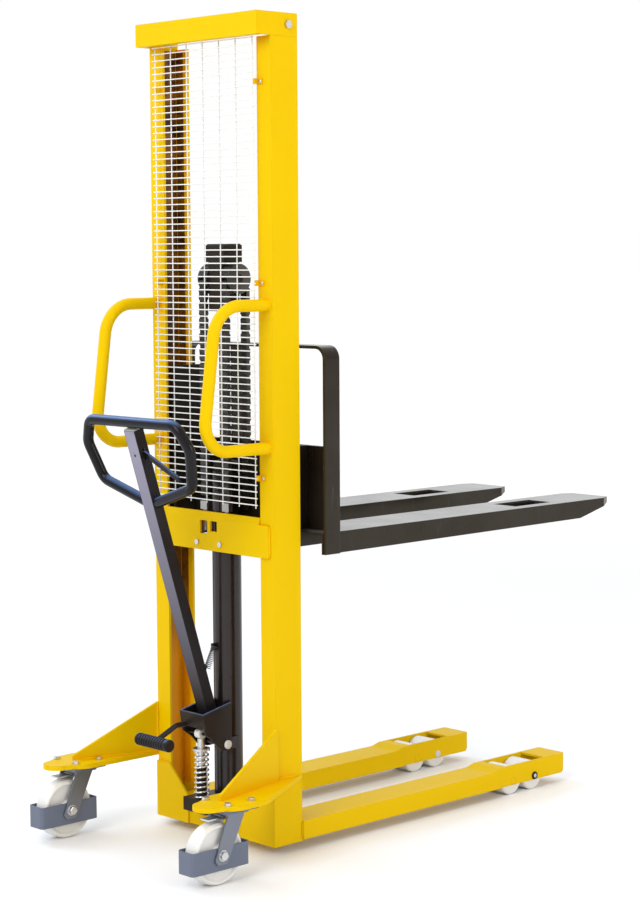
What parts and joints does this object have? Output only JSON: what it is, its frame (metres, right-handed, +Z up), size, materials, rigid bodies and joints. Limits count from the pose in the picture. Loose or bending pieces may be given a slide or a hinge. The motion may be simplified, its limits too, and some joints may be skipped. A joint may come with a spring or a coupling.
{
  "type": "hand pallet stacker",
  "caption": "Manual hydraulic pallet stacker: yellow mast with wire guard, black forks on a chain-lifted carriage, tiller pump, braked swivel casters and legs on load rollers.",
  "frame": {"origin": "middle of the footprint, on the floor", "axes": "+X to the operator's right, +Y towards the fork tips, +Z up"},
  "size_m": [0.726, 1.607, 2.08],
  "materials": {
    "yellow_paint": "gloss",
    "black_paint": "satin",
    "loop_coating": "gloss",
    "white_wire": "satin",
    "zinc_steel": "satin",
    "bright_steel": "polished",
    "chain_steel": "oiled",
    "black_rubber": "matte",
    "white_nylon": "satin",
    "caster_paint": "satin"
  },
  "bodies": {
    "mast": {"mast_channel_left": "yellow_paint", "mast_channel_right": "yellow_paint", "top_beam": "yellow_paint", "mid_cross_plate": "yellow_paint", "base_beam": "yellow_paint", "leg_left": "yellow_paint", "leg_right": "yellow_paint", "caster_arm_left": "yellow_paint", "caster_arm_right": "yellow_paint", "grab_handle_left": "yellow_paint", "grab_handle_right": "yellow_paint", "mesh_guard": "white_wire", "mesh_clips": "yellow_paint", "lift_cylinder": "black_paint", "cylinder_gland": "black_paint", "pump_base": "black_paint", "chain_anchor_bolts": "zinc_steel", "frame_screws": "zinc_steel", "load_roller_axles": "zinc_steel", "caster_plates": "caster_paint", "caster_plate_bolts": "zinc_steel", "front_chains": "chain_steel", "plunger_spring": "bright_steel", "tiller_spring": "bright_steel"},
    "rod": {"piston_rod": "bright_steel", "chain_head": "black_paint", "chain_wraps": "chain_steel"},
    "carriage": {"carriage_side_left": "black_paint", "carriage_side_right": "black_paint", "carriage_front_plate": "black_paint", "fork_left": "black_paint", "fork_right": "black_paint", "backrest": "black_paint", "back_chains": "chain_steel", "chain_anchor_bar": "black_paint"},
    "tiller": {"tiller_yoke": "black_paint", "tiller_tube": "black_paint", "tiller_loop": "loop_coating", "pedal_grip": "black_rubber"},
    "push_roller": {"push_roller": "white_nylon"},
    "release_lever": {"release_lever": "loop_coating"},
    "plunger": {"pump_plunger": "zinc_steel"},
    "sheave_left": {"chain_sheave_left": "chain_steel"},
    "mast_roller_lower_left": {"mast_roller_lower_left": "chain_steel"},
    "mast_roller_upper_left": {"mast_roller_upper_left": "chain_steel"},
    "load_roller_rear_left": {"load_roller_rear_left": "white_nylon"},
    "load_roller_front_left": {"load_roller_front_left": "white_nylon"},
    "caster_left": {"caster_fork_left": "caster_paint", "toe_guard_left": "caster_paint"},
    "caster_wheel_left": {"caster_wheel_left": "white_nylon"},
    "brake_left": {"brake_lever_left": "zinc_steel"},
    "sheave_right": {"chain_sheave_right": "chain_steel"},
    "mast_roller_lower_right": {"mast_roller_lower_right": "chain_steel"},
    "mast_roller_upper_right": {"mast_roller_upper_right": "chain_steel"},
    "load_roller_rear_right": {"load_roller_rear_right": "white_nylon"},
    "load_roller_front_right": {"load_roller_front_right": "white_nylon"},
    "caster_right": {"caster_fork_right": "caster_paint", "toe_guard_right": "caster_paint"},
    "caster_wheel_right": {"caster_wheel_right": "white_nylon"},
    "brake_right": {"brake_lever_right": "zinc_steel"}
  },
  "joints": [
    {"name": "rod_lift", "type": "slide", "parent": "mast", "child": "rod", "axis": [0, 0, 1], "range_m": [-0.3565, 0.3975], "deforming": ["front_chains"]},
    {"name": "carriage_lift", "type": "slide", "parent": "rod", "child": "carriage", "axis": [0, 0, 1], "range_m": [-0.3565, 0.3975], "deforming": ["back_chains"]},
    {"name": "sheave_spin_left", "type": "hinge", "parent": "rod", "child": "sheave_left", "pos_m": [-0.042, -0.4055, 1.436], "axis": [1, 0, 0], "range_deg": [-690, 770]},
    {"name": "mast_roller_spin_lower_left", "type": "hinge", "parent": "carriage", "child": "mast_roller_lower_left", "pos_m": [-0.203, -0.4065, 0.85], "axis": [1, 0, 0], "continuous": true},
    {"name": "mast_roller_spin_upper_left", "type": "hinge", "parent": "carriage", "child": "mast_roller_upper_left", "pos_m": [-0.203, -0.4065, 1.12], "axis": [1, 0, 0], "continuous": true},
    {"name": "load_roller_spin_rear_left", "type": "hinge", "parent": "mast", "child": "load_roller_rear_left", "pos_m": [-0.18565, 0.4345, 0.04], "axis": [1, 0, 0], "continuous": true},
    {"name": "load_roller_spin_front_left", "type": "hinge", "parent": "mast", "child": "load_roller_front_left", "pos_m": [-0.18565, 0.5225, 0.04], "axis": [1, 0, 0], "continuous": true},
    {"name": "caster_swivel_left", "type": "hinge", "parent": "mast", "child": "caster_left", "pos_m": [-0.298, -0.6655, 0.1767], "axis": [0, 0, 1], "continuous": true},
    {"name": "caster_wheel_spin_left", "type": "hinge", "parent": "caster_left", "child": "caster_wheel_left", "pos_m": [-0.298, -0.7135, 0.075], "axis": [1, 0, 0], "continuous": true},
    {"name": "brake_hinge_left", "type": "hinge", "parent": "caster_left", "child": "brake_left", "pos_m": [-0.298, -0.6915, 0.16], "axis": [1, 0, 0], "range_deg": [0, 12]},
    {"name": "sheave_spin_right", "type": "hinge", "parent": "rod", "child": "sheave_right", "pos_m": [0.042, -0.4055, 1.436], "axis": [1, 0, 0], "range_deg": [-690, 770]},
    {"name": "mast_roller_spin_lower_right", "type": "hinge", "parent": "carriage", "child": "mast_roller_lower_right", "pos_m": [0.203, -0.4065, 0.85], "axis": [1, 0, 0], "continuous": true},
    {"name": "mast_roller_spin_upper_right", "type": "hinge", "parent": "carriage", "child": "mast_roller_upper_right", "pos_m": [0.203, -0.4065, 1.12], "axis": [1, 0, 0], "continuous": true},
    {"name": "load_roller_spin_rear_right", "type": "hinge", "parent": "mast", "child": "load_roller_rear_right", "pos_m": [0.18565, 0.4345, 0.04], "axis": [1, 0, 0], "continuous": true},
    {"name": "load_roller_spin_front_right", "type": "hinge", "parent": "mast", "child": "load_roller_front_right", "pos_m": [0.18565, 0.5225, 0.04], "axis": [1, 0, 0], "continuous": true},
    {"name": "caster_swivel_right", "type": "hinge", "parent": "mast", "child": "caster_right", "pos_m": [0.298, -0.6655, 0.1767], "axis": [0, 0, 1], "continuous": true},
    {"name": "caster_wheel_spin_right", "type": "hinge", "parent": "caster_right", "child": "caster_wheel_right", "pos_m": [0.298, -0.7135, 0.075], "axis": [1, 0, 0], "continuous": true},
    {"name": "brake_hinge_right", "type": "hinge", "parent": "caster_right", "child": "brake_right", "pos_m": [0.298, -0.6915, 0.16], "axis": [1, 0, 0], "range_deg": [0, 12]},
    {"name": "tiller_hinge", "type": "hinge", "parent": "mast", "child": "tiller", "pos_m": [0, -0.4505, 0.255], "axis": [1, 0, 0], "range_deg": [0, 30], "stiffness_Nm_per_rad": 80, "springref_deg": -22.92, "deforming": ["tiller_spring"]},
    {"name": "plunger_slide", "type": "slide", "parent": "mast", "child": "plunger", "axis": [0, 0, -1], "range_m": [0, 0.031], "deforming": ["plunger_spring"]},
    {"name": "push_roller_spin", "type": "hinge", "parent": "tiller", "child": "push_roller", "pos_m": [0, -0.5005, 0.284], "axis": [1, 0, 0], "continuous": true},
    {"name": "release_lever_hinge", "type": "hinge", "parent": "tiller", "child": "release_lever", "pos_m": [0, -0.6847, 1.01158], "axis": [0, -0.9553, -0.2957], "range_deg": [0, 14], "stiffness_Nm_per_rad": 0.8, "springref_deg": -22.92}
  ],
  "couplings": [
    {"joint": "rod_lift", "follows": "carriage_lift", "ratio": 1},
    {"joint": "sheave_spin_left", "follows": "carriage_lift", "rad_per_m": 30.303},
    {"joint": "sheave_spin_right", "follows": "carriage_lift", "rad_per_m": 30.303},
    {"joint": "plunger_slide", "follows": "tiller_hinge", "m_per_rad": 0.055}
  ]
}
